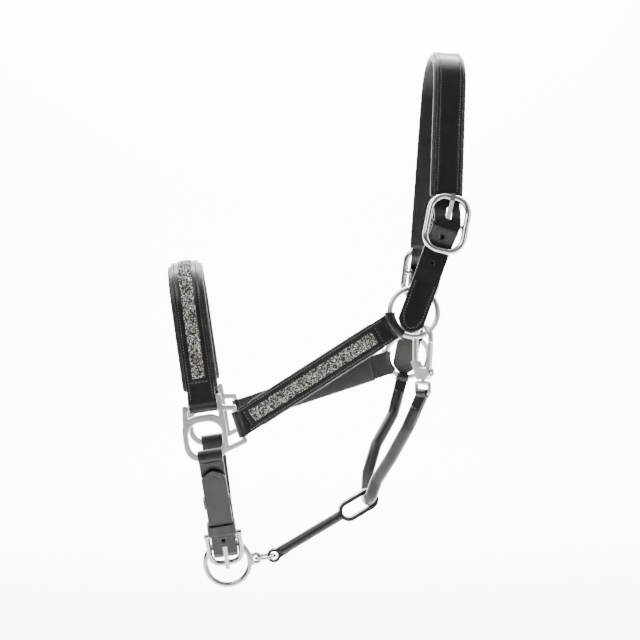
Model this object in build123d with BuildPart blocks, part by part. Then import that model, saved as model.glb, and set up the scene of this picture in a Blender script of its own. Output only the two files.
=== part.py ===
from build123d import *
from math import acos, atan2, cos, degrees, radians, sin, sqrt
import os

# A leather headcollar, millimetres. +Z is up, -X is the nose, -Y is the near (left) side of the horse.
# The origin is the poll seat: the inner face of the padded crown at its highest point.

# ---------------------------------------------------------------- driving dimensions
NEAR, FAR = "near", "far"
SIDES = {NEAR: -1, FAR: 1}          # direction of each side along Y

leather = 2.5                       # single layer of strap leather
fold_leather = 2.2                  # leather skived thin where it folds round metal
fit_gap = 0.15                      # play between a fold and a fixed bar
turn_gap = 0.3                      # play between parts that move on each other

crown_lean = 3.0                    # lean of the crown arch towards the nose, degrees
crown_splay = 7.5                   # lean of each crown leg away from the middle, degrees
crown_radius = 45.0                 # seam between strap and padding, over the poll
crown_leather = 2.8
crown_width = 27.0
crown_pad = 5.0
crown_pad_width = 31.0
crown_lining = 1.2
crown_lining_width = 34.0
crown_leg = {NEAR: 145.0, FAR: 195.0}     # end of the arch to the centre bar of each buckle
billet_width = 27.0
billet_swing = {NEAR: 18.0, FAR: 6.5}     # turn of the strap at each crown buckle, degrees
billet_reach = 117.0                # centre bar to the billet's tip
hole_spacing = 28.0

crown_tab = 95.0                    # centre bar to the middle of the upper ring
crown_tab_width = 25.0
crown_frame_width = 38.5            # buckle frame, between the middles of its rails
crown_frame_height = 55.5
crown_frame_corner = 15.0
crown_frame_rod = 3.25              # radius of the frame's section
centre_bar_rod = 2.5
tongue_width = 4.4
tongue_rod = 1.5                    # half the tongue's thickness
tongue_hub = centre_bar_rod + fit_gap + 1.4

upper_ring_radius = 24.3            # to the middle of the wire
upper_ring_rod = 2.75

nose_lean = 8.0                     # lean of the noseband and chin strap, degrees
fitting_x, fitting_z = -255.2, -361.0     # middle of the fitting's noseband bar
nose_half_gap = 58.0                # each fitting to the middle plane
nose_height = 97.4                  # noseband bars to the middle of the nose arch
nose_radius = 50.0                  # seam radius over the nose
nose_width = 28.0
nose_pad = 5.0
nose_pad_width = 33.0
nose_lining = 1.2
nose_lining_width = 37.0
inlay_width = 13.5
inlay_thickness = 1.2
inlay_depth = 0.6                   # depth of the recess that the inlay is sewn into
nose_end_fold = 26.0                # doubled leather above each noseband bar
nose_plain_end = 30.0               # noseband bar to the end of the inlay

cheek_width = 27.0
cheek_pad = 4.3
cheek_pad_width = 25.0
cheek_lining = 1.2
cheek_lining_width = 28.0
cheek_end_fold = 26.0               # doubled leather at each end of a cheekpiece
cheek_plain_end = 15.0              # cheek bar to the end of the inlay
cheek_inlay_length = 148.0

casting_half = 2.75                 # half the thickness of the side fitting
casting_bar = 5.5                   # width of the fitting's rails
loop_width, loop_height = 45.0, 46.5
loop_x, loop_y = -2.0, -30.5        # middle of the fitting's big loop, from its noseband bar
loop_corner = 16.0
loop_opening_height = 34.0
loop_opening_y = -31.5
bar_rod = 2.5                       # noseband bar and cheek bar
cheek_bar_top = (30.6, -4.2)
cheek_bar_bottom = (37.1, -39.4)

chin_width = 25.0
chin_lean = 18.0                    # near chin strap, inwards from upright, degrees
chin_layers = 4.6                   # doubled chin strap
chin_billet = 2.8
chin_drop = 90.0                    # loop bar to the heel bar of the chin buckle
chin_billet_lift = 5.9              # middle of the billet above the near chin strap's middle
chin_tip = 12.0                     # billet's tip below the loop bar
chin_bend = 112.0                   # where the billet turns inwards through the frame
chin_slot = 20.0                    # length of the billet's opening for the tongue
chin_floor = (-5.0, -164.0)         # lowest bend of the far chin strap
chin_far_fold = 55.0
chin_frame_room = 1.25              # play between the chin strap and each rail
chin_frame_rod = 2.75
chin_frame_width = chin_width + 2 * (chin_frame_room + chin_frame_rod)
chin_frame_length = 34.0            # heel bar to toe bar
heel_rod = 2.0
keeper_width = 11.0
keeper_leather = 2.0
fixed_keeper_at = 51.0
runner_keeper_at = 80.5

lead_ring_radius = 23.4
lead_ring_rod = 2.75
lead_ring_y = -12.0
lead_ring_drop = 171.0              # noseband bars to the middle of the lead ring
eye_radius = 4.6                    # cast eye of the lead ring, to the middle of its wire
eye_rod = 1.9
link_radius = 7.0
link_length = 6.0                   # between the middles of the link's two ends
link_rod = 1.6

back_rod = 5.3                      # radius of the rolled back strap
back_core = 3.0
back_fold_width = 6.8
back_fold_radius = 7.2
back_fold_channel = 4.5
back_loop_half = 5.0                # half width of the strands round the throat strap
back_loop_length = 38.0             # opening of the loop round the throat strap
back_loop_gap = 0.6                 # play between that loop and the throat strap
back_loop_leather = 4.0

throat_rod = 6.5                    # radius of the rolled throat strap
throat_core = 3.6
throat_fold_width = 13.0
throat_fold_length = 34.0
throat_near_points = [(-48.0, -66.0, -382.0), (-63.0, -45.0, -417.0), (-75.0, -27.0, -442.0)]
throat_bottom_near, throat_bottom_far = (-82.0, -19.0, -466.0), (-82.0, 8.0, -466.0)
throat_far_points = [(-78.0, 30.0, -444.0), (-66.0, 56.0, -417.0), (-44.0, 77.0, -385.0)]
throat_bend_radius = 17.0
throat_far_angle = 268.0            # where the throat strap holds the far ring, degrees

snap_turn = 50.0                    # turn of the snap from the view across the horse, degrees
snap_on_ring = -47.0                # where the snap hangs on the near ring, degrees
snap_half = 10.0                    # snap legs to its middle line
snap_rod = 2.75
snap_hang = 2.0                     # ring wire above the middle of the hook's arch
snap_tip = -5.0
gate_gap = 0.5                      # between the hook's tip and the closed gate
gate_pivot = (7.6, -35.0)
gate_half = 2.0
gate_hub = 3.2
gate_hub_half = 1.2
gate_pin_rod = 1.2
snap_base_top, snap_base_bottom = -31.0, -43.0
snap_base_half = 4.4
swivel_rod = 1.9
swivel_head = 2.9
snap_eye_half = 8.5
snap_eye_rod = 2.0
snap_eye_top, snap_eye_bottom = -46.5, -57.0

os.makedirs("parts", exist_ok=True)


# ---------------------------------------------------------------- frames of reference
def profile_plane(strap_plane):
    """Plane of a strap's long section: x runs along the strap, y out of its face."""
    return Plane(origin=strap_plane.origin, x_dir=strap_plane.y_dir, z_dir=strap_plane.x_dir)


def offset_point(plane, x, y, z=0.0):
    return plane.from_local_coords((x, y, z))


def turned(plane, angle):
    """The same plane turned about its own normal."""
    along = plane.x_dir * cos(radians(angle)) + plane.y_dir * sin(radians(angle))
    return Plane(origin=plane.origin, x_dir=along, z_dir=plane.z_dir)


crown_plane = Plane(
    origin=(0, 0, 0),
    x_dir=(0, 1, 0),
    z_dir=(cos(radians(crown_lean)), 0, -sin(radians(crown_lean))),
)
nose_plane = Plane(
    origin=(fitting_x, 0, fitting_z),
    x_dir=(0, 1, 0),
    z_dir=(cos(radians(nose_lean)), 0, sin(radians(nose_lean))),
)
crown_arch_centre = -(crown_radius - crown_pad - crown_lining)


def arch_leg(radius, centre_height, splay, side, length):
    """Start on the arch and end of one straight leg, in the arch's plane."""
    angle = radians(splay)
    sign = SIDES[side]
    start = (sign * radius * cos(angle), centre_height + radius * sin(angle))
    end = (start[0] + sign * length * sin(angle), start[1] - length * cos(angle))
    return start, end


def arch_line(radius, centre_height, splay, near_length, far_length):
    """Draw an arch with two straight legs that run on from it."""
    near_start, near_end = arch_leg(radius, centre_height, splay, NEAR, near_length)
    far_start, far_end = arch_leg(radius, centre_height, splay, FAR, far_length)
    Line(near_end, near_start)
    ThreePointArc(near_start, (0, centre_height + radius), far_start)
    Line(far_start, far_end)


def crown_buckle_plane(side):
    """Seam plane of a crown leg at the buckle: x across, y up the strap, z out of its face."""
    start, end = arch_leg(crown_radius, crown_arch_centre, crown_splay, side, crown_leg[side])
    origin = offset_point(crown_plane, *end)
    up = (offset_point(crown_plane, *start) - origin).normalized()
    outward = crown_plane.z_dir.cross(up) * -SIDES[side]
    return Plane(origin=origin, x_dir=up.cross(outward), z_dir=outward)


def tab_plane(side):
    return turned(crown_buckle_plane(side), SIDES[side] * billet_swing[side])


def frame_plane(side):
    return turned(crown_buckle_plane(side), SIDES[side] * billet_swing[side] / 2)


tab_level = -fold_leather           # middle of the doubled crown tab, below the seam plane
billet_level = crown_leather / 2    # middle of the billet where it passes behind the frame
frame_level = crown_leather + turn_gap + crown_frame_rod
bar_level = 3.2                     # the centre bar is dropped behind the frame
tab_fold = centre_bar_rod + fit_gap + fold_leather
billet_crest = bar_level + tab_fold + crown_leather / 2
ring_fold = upper_ring_rod + turn_gap + fold_leather
billet_over_ring = tab_level + ring_fold + crown_leather / 2


def ring_plane(side):
    tab = tab_plane(side)
    return Plane(origin=offset_point(tab, 0, -crown_tab, tab_level), x_dir=tab.x_dir, z_dir=tab.z_dir)


def fitting_plane(side):
    """Side fitting: x towards the cheek, y up, z towards the near side."""
    return Plane(
        origin=(fitting_x, SIDES[side] * nose_half_gap, fitting_z),
        x_dir=nose_plane.z_dir,
        z_dir=(0, -1, 0),
    )


def cheek_plane(side):
    """Cheekpiece: x from the cheek bar to the upper ring, z out of its face."""
    fitting = fitting_plane(side)
    middle = [(a + b) / 2 for a, b in zip(cheek_bar_top, cheek_bar_bottom)]
    origin = offset_point(fitting, *middle)
    ring = ring_plane(side)
    along = (ring.origin - origin).normalized()
    outward = ring.z_dir - along * ring.z_dir.dot(along)
    return Plane(origin=origin, x_dir=along, z_dir=outward.normalized())


def cheek_length(side):
    return (ring_plane(side).origin - cheek_plane(side).origin).length


def side_name(side, label):
    return f"{side}_{label}"


def save(part, label):
    """Name one finished piece and write it."""
    part.label = label
    export_step(part, f"parts/{label}.step")
    return part


# ---------------------------------------------------------------- shared features
def ring_wrap(plane, angle, width, radius, thickness):
    """Leather folded round part of a ring: a piece of a larger ring, centred on an angle."""
    half_turn = degrees(width / 2 / radius)
    start = turned(plane, angle - half_turn)
    with BuildPart() as wrap:
        with BuildSketch(Plane(origin=plane.origin, x_dir=start.x_dir, z_dir=-start.y_dir)):
            with Locations((radius, 0)):
                Circle(thickness)
        revolve(axis=Axis(plane.origin, plane.z_dir), revolution_arc=2 * half_turn)
    return wrap.part


def rod_between(start, end, radius):
    """Round bar between two points."""
    axis = Vector(*end) - Vector(*start)
    with BuildPart() as rod:
        with BuildSketch(Plane(origin=start, z_dir=axis)):
            Circle(radius)
        extrude(amount=axis.length)
    return rod.part


def wire_ring(plane, radius, rod):
    """Whole ring of round wire."""
    with BuildPart() as ring:
        with BuildSketch(Plane(origin=plane.origin, x_dir=plane.x_dir, z_dir=-plane.y_dir)):
            with Locations((radius, 0)):
                Circle(rod)
        revolve(axis=Axis(plane.origin, plane.z_dir))
    return ring.part


def tip_cutter(plane, width, tip, level, depth):
    """What is cut away to leave a blunt point. The strap runs from its tip along the plane's y."""
    half = width / 2 + 1
    shoulder = tip + width * 0.55
    with BuildPart() as cutter:
        with BuildSketch(plane.offset(level - depth)):
            with BuildLine():
                Polyline((-half, shoulder), (-half, tip - 1), (half, tip - 1), (half, shoulder))
                ThreePointArc((half, shoulder), (width * 0.34, tip + width * 0.17), (0, tip))
                ThreePointArc((0, tip), (-width * 0.34, tip + width * 0.17), (-half, shoulder))
            make_face()
        extrude(amount=2 * depth)
    return cutter.part


def disc(plane, radius, half_height):
    """Flat round plug, centred on a plane."""
    with BuildPart() as plug:
        with BuildSketch(plane):
            Circle(radius)
        extrude(amount=half_height, both=True)
    return plug.part


# ---------------------------------------------------------------- crown
frame_half = crown_frame_height / 2
bar_flat = 5.0                      # flat crest of the billet each side of the centre bar
behind_bar = frame_half - crown_frame_rod - 4.5     # where the billet is back behind the frame
crown_pad_end = frame_half + crown_frame_rod + 2.0
tongue_slot_at = 11.0
tongue_slot = 15.0


def crown_layer(radius, thickness, width, end_gap):
    """One layer of the crown, over the poll and down both legs."""
    with BuildPart() as layer:
        with BuildSketch(crown_plane):
            with BuildLine():
                arch_line(
                    radius, crown_arch_centre, crown_splay, crown_leg[NEAR] - end_gap, crown_leg[FAR] - end_gap
                )
            trace(line_width=thickness)
        extrude(amount=width / 2, both=True)
    return layer.part


def billet(side):
    """Crown strap's end: behind the frame, over the centre bar, behind the frame, down to its tip."""
    leg = crown_buckle_plane(side)
    tab = tab_plane(side)
    ring_edge = -(crown_tab - upper_ring_radius)
    with BuildPart() as end:
        with BuildSketch(profile_plane(leg)):
            with BuildLine():
                FilletPolyline(
                    (crown_pad_end, billet_level), (behind_bar, billet_level),
                    (bar_flat, billet_crest), (0, billet_crest), radius=6,
                )
            trace(line_width=crown_leather)
        extrude(amount=crown_width / 2, both=True)
        with BuildSketch(profile_plane(tab)):
            with BuildLine():
                FilletPolyline(
                    (0, billet_crest), (-bar_flat, billet_crest), (-behind_bar, billet_level),
                    (ring_edge + 22, billet_level), (ring_edge + 9, billet_over_ring),
                    (-billet_reach, billet_over_ring), radius=6,
                )
            trace(line_width=crown_leather)
        extrude(amount=billet_width / 2, both=True)
        mitre = crown_width / 2 * sin(radians(billet_swing[side] / 2))
        with BuildSketch(frame_plane(side).offset(billet_crest - crown_leather / 2)):
            Rectangle(crown_width, 2 * mitre)
        extrude(amount=crown_leather)
        tip = tip_cutter(tab, billet_width, -billet_reach, billet_over_ring, 2 * crown_leather)
        add(tip, mode=Mode.SUBTRACT)
        with BuildSketch(frame_plane(side).offset(-crown_leather)):
            with Locations((0, tongue_slot_at)):
                SlotOverall(tongue_slot, tongue_width + 1.2, rotation=90)
        extrude(amount=6 * crown_leather, mode=Mode.SUBTRACT)
        with BuildSketch(tab.offset(-crown_leather)):
            with Locations((0, -hole_spacing / 2), (0, -hole_spacing * 1.5)):
                Circle(tongue_width / 2)
        extrude(amount=6 * crown_leather, mode=Mode.SUBTRACT)
    return end.part


with BuildPart() as crown_strap:
    add(crown_layer(crown_radius + crown_leather / 2, crown_leather, crown_width, crown_pad_end))
    for side in SIDES:
        add(billet(side))
save(crown_strap.part, "crown_strap")

save(
    crown_layer(crown_radius - crown_pad / 2, crown_pad, crown_pad_width, crown_pad_end),
    "crown_padding",
)
save(
    crown_layer(
        crown_radius - crown_pad - crown_lining / 2, crown_lining, crown_lining_width, crown_pad_end - 4
    ),
    "crown_lining",
)


def crown_tab_piece(side):
    """Doubled strap from the centre bar of the buckle to the upper ring."""
    tab = tab_plane(side)
    frame = frame_plane(side)
    ring = ring_plane(side)
    bar = offset_point(frame, 0, 0, bar_level)
    with BuildPart() as piece:
        with BuildSketch(profile_plane(tab)):
            with BuildLine():
                FilletPolyline(
                    (-(crown_tab - upper_ring_radius / 2), tab_level), (-behind_bar, tab_level),
                    (-tab_fold, bar_level - 1), (0, bar_level), radius=4,
                )
            trace(line_width=2 * fold_leather)
        extrude(amount=crown_tab_width / 2, both=True)
        add(disc(ring, upper_ring_radius, ring_fold), mode=Mode.SUBTRACT)
        add(ring_wrap(ring, 90, crown_tab_width, upper_ring_radius, ring_fold))
        half = frame.x_dir * (crown_tab_width / 2)
        add(rod_between(bar - half, bar + half, tab_fold))
        add(wire_ring(ring, upper_ring_radius, upper_ring_rod + turn_gap), mode=Mode.SUBTRACT)
        channel = rod_between(bar - half * 2, bar + half * 2, centre_bar_rod + fit_gap)
        add(channel, mode=Mode.SUBTRACT)
        with BuildSketch(frame.offset(bar_level - tab_fold - 1)):
            with Locations((0, 2)):
                Rectangle(tongue_width + 1.2, 2 * tab_fold + 4)
        extrude(amount=2 * tab_fold + 2, mode=Mode.SUBTRACT)
    return piece.part


def crown_frame(side):
    """Centre-bar buckle frame: a rounded rectangle of round rod with a dropped centre bar."""
    frame = frame_plane(side)
    rail = crown_frame_width / 2
    with BuildPart() as piece:
        with BuildLine(frame.offset(frame_level)) as path:
            FilletPolyline(
                (rail, frame_half), (rail, -frame_half), (-rail, -frame_half), (-rail, frame_half),
                radius=crown_frame_corner, close=True,
            )
        with BuildSketch(Plane(origin=path.line @ 0, z_dir=path.line % 0)):
            Circle(crown_frame_rod)
        sweep(path=path.line)
        bar = offset_point(frame, 0, 0, bar_level)
        add(rod_between(bar - frame.x_dir * rail, bar + frame.x_dir * rail, centre_bar_rod))
    return piece.part


def crown_tongue(side):
    """Buckle tongue: a hub round the centre bar and an arm that rests on the frame's top bar."""
    frame = frame_plane(side)
    rest = frame_level + crown_frame_rod + tongue_rod + fit_gap
    with BuildPart() as piece:
        with BuildSketch(profile_plane(frame)):
            with Locations((0, bar_level)):
                Circle(tongue_hub)
            with BuildLine():
                Polyline((0, bar_level), (frame_half - crown_frame_rod - 1, rest), (frame_half + 3, rest))
            trace(line_width=2 * tongue_rod)
        extrude(amount=tongue_width / 2, both=True)
        bar = offset_point(frame, 0, 0, bar_level)
        half = frame.x_dir * tongue_width
        add(rod_between(bar - half, bar + half, centre_bar_rod + fit_gap), mode=Mode.SUBTRACT)
    return piece.part

for side in SIDES:
    save(crown_tab_piece(side), side_name(side, "crown_tab"))
    save(crown_frame(side), side_name(side, "crown_buckle_frame"))
    save(crown_tongue(side), side_name(side, "crown_buckle_tongue"))
    save(wire_ring(ring_plane(side), upper_ring_radius, upper_ring_rod), side_name(side, "upper_ring"))


# ---------------------------------------------------------------- side fittings
def fitting_piece(side):
    """Cast three-way square: a big loop with a bar for the noseband and a bar for the cheekpiece."""
    plane = fitting_plane(side)
    left, right = loop_x - loop_width / 2, loop_x + loop_width / 2
    post_x, ear_x = right - 3.0, left + 6.0
    with BuildPart() as piece:
        with BuildSketch(plane.offset(-casting_half)):
            with Locations((loop_x, loop_y)):
                RectangleRounded(loop_width, loop_height, loop_corner)
            with BuildLine():
                Line((post_x - 0.7, 9.5), (post_x + 0.3, loop_y - 8))
            trace(line_width=casting_bar)
            with BuildLine():
                Line((ear_x, 1.5), (ear_x - 2.5, loop_y + 6))
            trace(line_width=casting_bar)
            with Locations((post_x - 0.7, 9.5), (ear_x, 1.5)):
                Circle(casting_bar / 2)
            with BuildLine():
                Line((post_x, -2.5), cheek_bar_top)
            trace(line_width=casting_bar)
            with BuildLine():
                Line((post_x - 4.5, loop_y - 16.5), cheek_bar_bottom)
            trace(line_width=casting_bar)
            with Locations((loop_x, loop_opening_y)):
                RectangleRounded(
                    loop_width - 2 * casting_bar, loop_opening_height, loop_corner - casting_bar / 2,
                    mode=Mode.SUBTRACT,
                )
        extrude(amount=2 * casting_half)
        add(rod_between(offset_point(plane, ear_x, 0), offset_point(plane, post_x, 0), bar_rod))
        top, bottom = offset_point(plane, *cheek_bar_top), offset_point(plane, *cheek_bar_bottom)
        add(rod_between(top, bottom, bar_rod))
        for end in (top, bottom):
            add(disc(Plane(origin=end, z_dir=plane.z_dir), casting_bar / 2, casting_half))
    return piece.part


for side in SIDES:
    save(fitting_piece(side), side_name(side, "side_fitting"))


# ---------------------------------------------------------------- cheekpieces
cheek_fold = bar_rod + fit_gap + fold_leather


def cheek_slab(side, start, end, width, low, high):
    """Flat layer of a cheekpiece between two distances from the cheek bar."""
    with BuildPart() as slab:
        with BuildSketch(cheek_plane(side).offset(low)):
            with Locations(((start + end) / 2, 0)):
                Rectangle(end - start, width)
        extrude(amount=high - low)
    return slab.part


def cheek_strap(side):
    """Outer leather, folded round the cheek bar and round the upper ring."""
    ring = ring_plane(side)
    cheek = cheek_plane(side)
    length = cheek_length(side)
    fitting = fitting_plane(side)
    top, bottom = (Vector(*offset_point(fitting, *end)) for end in (cheek_bar_top, cheek_bar_bottom))
    middle, run = (top + bottom) / 2, (top - bottom).normalized()
    half = run * (cheek_width / 2)
    towards_fitting = degrees(atan2(-cheek.x_dir.dot(ring.y_dir), -cheek.x_dir.dot(ring.x_dir)))
    ring_edge = length - upper_ring_radius
    with BuildPart() as piece:
        add(cheek_slab(side, 0, length, cheek_width, 0, leather))
        add(cheek_slab(side, 0, cheek_end_fold, cheek_width, -leather, 0))
        add(cheek_slab(side, ring_edge - cheek_end_fold, length, cheek_width, -leather, 0))
        add(disc(ring, upper_ring_radius, 2 * ring_fold), mode=Mode.SUBTRACT)
        add(ring_wrap(ring, towards_fitting, cheek_width, upper_ring_radius, ring_fold))
        add(rod_between(middle - half, middle + half, cheek_fold))
        add(wire_ring(ring, upper_ring_radius, upper_ring_rod + turn_gap), mode=Mode.SUBTRACT)
        add(rod_between(middle - half * 2, middle + half * 2, bar_rod + fit_gap), mode=Mode.SUBTRACT)
        recess = cheek_slab(
            side, cheek_plain_end, cheek_plain_end + cheek_inlay_length, inlay_width,
            leather - inlay_depth, 2 * leather,
        )
        add(recess, mode=Mode.SUBTRACT)
    return piece.part


def cheek_layer(side, end_gap, width, low, high):
    """Padding or lining under the outer leather, between the two end folds."""
    end = cheek_length(side) - upper_ring_radius - end_gap
    return cheek_slab(side, end_gap, end, width, low, high)


for side in SIDES:
    save(cheek_strap(side), side_name(side, "cheek_strap"))
    save(
        cheek_layer(side, cheek_end_fold, cheek_pad_width, -cheek_pad, 0),
        side_name(side, "cheek_padding"),
    )
    save(
        cheek_layer(side, cheek_end_fold - 8, cheek_lining_width, -cheek_pad - cheek_lining, -cheek_pad),
        side_name(side, "cheek_lining"),
    )
    cheek_inlay = cheek_slab(
        side, cheek_plain_end, cheek_plain_end + cheek_inlay_length, inlay_width,
        leather - inlay_depth, leather - inlay_depth + inlay_thickness,
    )
    save(cheek_inlay, side_name(side, "cheek_inlay"))


# ---------------------------------------------------------------- noseband
nose_reach = sqrt(nose_half_gap**2 + nose_height**2)
nose_splay = degrees(acos(nose_radius / nose_reach) - atan2(nose_height, nose_half_gap))
nose_leg = sqrt(nose_reach**2 - nose_radius**2)


def nose_layer(radius, thickness, width, end_gap):
    """One layer of the noseband, over the nose and down both legs."""
    with BuildPart() as layer:
        with BuildSketch(nose_plane):
            with BuildLine():
                arch_line(radius, nose_height, nose_splay, nose_leg - end_gap, nose_leg - end_gap)
            trace(line_width=thickness)
        extrude(amount=width / 2, both=True)
    return layer.part


with BuildPart() as noseband_strap:
    add(nose_layer(nose_radius + leather / 2, leather, nose_width, 0))
    with BuildSketch(nose_plane):
        for side in SIDES:
            start, end = arch_leg(nose_radius - leather / 2, nose_height, nose_splay, side, nose_leg)
            _, fold_top = arch_leg(
                nose_radius - leather / 2, nose_height, nose_splay, side, nose_leg - nose_end_fold
            )
            with BuildLine():
                Line(fold_top, end)
            trace(line_width=leather)
            with Locations((SIDES[side] * nose_half_gap, 0)):
                Circle(cheek_fold)
    extrude(amount=nose_width / 2, both=True)
    with BuildSketch(nose_plane):
        with Locations((-nose_half_gap, 0), (nose_half_gap, 0)):
            Circle(bar_rod + fit_gap)
    extrude(amount=nose_width, both=True, mode=Mode.SUBTRACT)
    inlay_seat = nose_radius + leather - inlay_depth
    recess = nose_layer(inlay_seat + leather / 2, leather, inlay_width, nose_plain_end)
    add(recess, mode=Mode.SUBTRACT)
save(noseband_strap.part, "noseband_strap")

save(
    nose_layer(nose_radius - nose_pad / 2, nose_pad, nose_pad_width, nose_end_fold),
    "noseband_padding",
)
save(
    nose_layer(nose_radius - nose_pad - nose_lining / 2, nose_lining, nose_lining_width, nose_end_fold - 8),
    "noseband_lining",
)
save(
    nose_layer(inlay_seat + inlay_thickness / 2, inlay_thickness, inlay_width, nose_plain_end),
    "noseband_inlay",
)


# ---------------------------------------------------------------- chin strap
loop_bar_y = loop_opening_y - loop_opening_height / 2 - (casting_bar - 0.5) / 2
near_bar = Vector(-nose_half_gap, loop_bar_y)
far_bar = Vector(nose_half_gap, loop_bar_y)
chin_fold = casting_half + fit_gap + fold_leather
chin_fold_rise = 3.2                # the fold reaches up round the curve of the loop's lower rail
heel_fold = heel_rod + fit_gap + 2.0
chin_down = Vector(sin(radians(chin_lean)), -cos(radians(chin_lean)))
chin_out = Vector(-cos(radians(chin_lean)), -sin(radians(chin_lean)))


def chin_point(down, out=0.0):
    """Point in the nose plane, measured down the near chin strap and out of its face."""
    point = near_bar + chin_down * down + chin_out * out
    return (point.X, point.Y)


def chin_plane():
    """Plane of the near chin strap: x across it, y up it, z out of its face, at the loop bar."""
    origin = offset_point(nose_plane, *chin_point(0))
    up = offset_point(nose_plane, *chin_point(-1)) - origin
    out = offset_point(nose_plane, *chin_point(0, 1)) - origin
    return Plane(origin=origin, x_dir=up.cross(out), z_dir=out)


def loop_fold(bar):
    """Fold of a chin strap round the lower rail of the fitting's loop, drawn in the nose plane."""
    with BuildPart() as fold:
        with BuildSketch(nose_plane):
            with Locations((bar.X, bar.Y + chin_fold_rise / 2)):
                SlotOverall(2 * chin_fold + chin_fold_rise, 2 * chin_fold, rotation=90)
        extrude(amount=chin_width / 2, both=True)
    return fold.part


def loop_channel(side):
    """Room for the fitting's loop inside the fold of a chin strap."""
    half = casting_half + fit_gap
    with BuildPart() as channel:
        with BuildSketch(fitting_plane(side).offset(-half)):
            with Locations((loop_x, loop_y)):
                RectangleRounded(loop_width + 2 * fit_gap, loop_height + 2 * fit_gap, loop_corner + fit_gap)
            with Locations((loop_x, loop_opening_y)):
                RectangleRounded(
                    loop_width - 2 * casting_bar - 2 * fit_gap, loop_opening_height - 2 * fit_gap,
                    loop_corner - casting_bar / 2 - fit_gap, mode=Mode.SUBTRACT,
                )
        extrude(amount=2 * half)
    return channel.part


with BuildPart() as near_chin_strap:
    with BuildSketch(nose_plane):
        with BuildLine():
            Line(chin_point(0), chin_point(chin_drop))
        trace(line_width=chin_layers)
        with Locations(chin_point(chin_drop)):
            Circle(heel_fold)
    extrude(amount=chin_width / 2, both=True)
    add(loop_fold(near_bar))
    add(loop_channel(NEAR), mode=Mode.SUBTRACT)
    with BuildSketch(nose_plane):
        with Locations(chin_point(chin_drop)):
            Circle(heel_rod + fit_gap)
    extrude(amount=chin_width, both=True, mode=Mode.SUBTRACT)
    with BuildSketch(chin_plane().offset(-heel_fold - 1)):
        with Locations((0, -chin_drop)):
            Rectangle(tongue_width + 1.0, 4 * heel_fold)
    extrude(amount=2 * heel_fold + 2, mode=Mode.SUBTRACT)
save(near_chin_strap.part, "near_chin_strap")

with BuildPart() as far_chin_strap:
    with BuildSketch(nose_plane):
        with BuildLine():
            FilletPolyline(
                chin_point(chin_tip, chin_billet_lift), chin_point(chin_bend, chin_billet_lift),
                chin_floor, (far_bar.X, far_bar.Y), radius=9,
            )
        trace(line_width=chin_billet)
    extrude(amount=chin_width / 2, both=True)
    downwards = turned(chin_plane(), 180)
    add(tip_cutter(downwards, chin_width, chin_tip, chin_billet_lift, 2 * chin_billet), mode=Mode.SUBTRACT)
    far_run = (Vector(*chin_floor) - far_bar).normalized() * chin_far_fold
    with BuildSketch(nose_plane):
        with BuildLine():
            Line((far_bar.X, far_bar.Y), (far_bar.X + far_run.X, far_bar.Y + far_run.Y))
        trace(line_width=chin_layers)
    extrude(amount=chin_width / 2, both=True)
    add(loop_fold(far_bar))
    add(loop_channel(FAR), mode=Mode.SUBTRACT)
    chin_hole_level = chin_plane().offset(-chin_billet)
    with BuildSketch(chin_hole_level):
        with Locations((0, -chin_bend + 1)):
            Rectangle(tongue_width + 1.0, chin_slot)
        with Locations((0, -chin_drop - 3)):
            Circle(tongue_width / 2)
    extrude(amount=5 * chin_billet, mode=Mode.SUBTRACT)
save(far_chin_strap.part, "far_chin_strap")

with BuildPart() as chin_buckle_frame:
    rail = chin_frame_width / 2
    toe = -chin_drop - chin_frame_length
    with BuildLine(chin_plane()) as chin_path:
        FilletPolyline((-rail, -chin_drop), (-rail, toe), (rail, toe), (rail, -chin_drop), radius=11)
    with BuildSketch(Plane(origin=chin_path.line @ 0, z_dir=chin_path.line % 0)):
        Circle(chin_frame_rod)
    sweep(path=chin_path.line)
    for across in (-rail, rail):
        knuckle = offset_point(chin_plane(), across, -chin_drop)
        reach = chin_plane().x_dir * (chin_frame_rod + 0.4)
        add(rod_between(knuckle - reach, knuckle + reach, chin_frame_rod + 0.4))
    heel = offset_point(chin_plane(), 0, -chin_drop)
    add(rod_between(heel - chin_plane().x_dir * rail, heel + chin_plane().x_dir * rail, heel_rod))
save(chin_buckle_frame.part, "chin_buckle_frame")

with BuildPart() as chin_buckle_tongue:
    with BuildSketch(profile_plane(chin_plane())):
        with Locations((-chin_drop, 0)):
            Circle(heel_rod + fit_gap + 1.3)
        with BuildLine():
            Line(
                (-chin_drop, 0),
                (-chin_drop - chin_frame_length - 4, chin_frame_rod + tongue_rod + 0.6),
            )
        trace(line_width=2 * tongue_rod)
    extrude(amount=tongue_width / 2, both=True)
    half = chin_plane().x_dir * tongue_width
    add(rod_between(heel - half, heel + half, heel_rod + fit_gap), mode=Mode.SUBTRACT)
save(chin_buckle_tongue.part, "chin_buckle_tongue")


def keeper(at, out_low, out_high, gap):
    """Leather band round the strap: a rectangular loop with rounded corners."""
    height = out_high - out_low + 2 * gap
    width = chin_width + 2 * gap
    across = Plane(
        origin=offset_point(chin_plane(), 0, -at, (out_low + out_high) / 2),
        x_dir=chin_plane().x_dir, z_dir=chin_plane().y_dir,
    )
    with BuildPart() as band:
        with BuildSketch(across):
            RectangleRounded(width + 2 * keeper_leather, height + 2 * keeper_leather, keeper_leather)
            Rectangle(width, height, mode=Mode.SUBTRACT)
        extrude(amount=keeper_width / 2, both=True)
    return band.part


billet_face = chin_billet_lift + chin_billet / 2
save(keeper(fixed_keeper_at, -chin_layers / 2, chin_layers / 2, 0), "chin_fixed_keeper")
save(keeper(runner_keeper_at, -chin_layers / 2, billet_face, turn_gap), "chin_runner_keeper")


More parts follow.
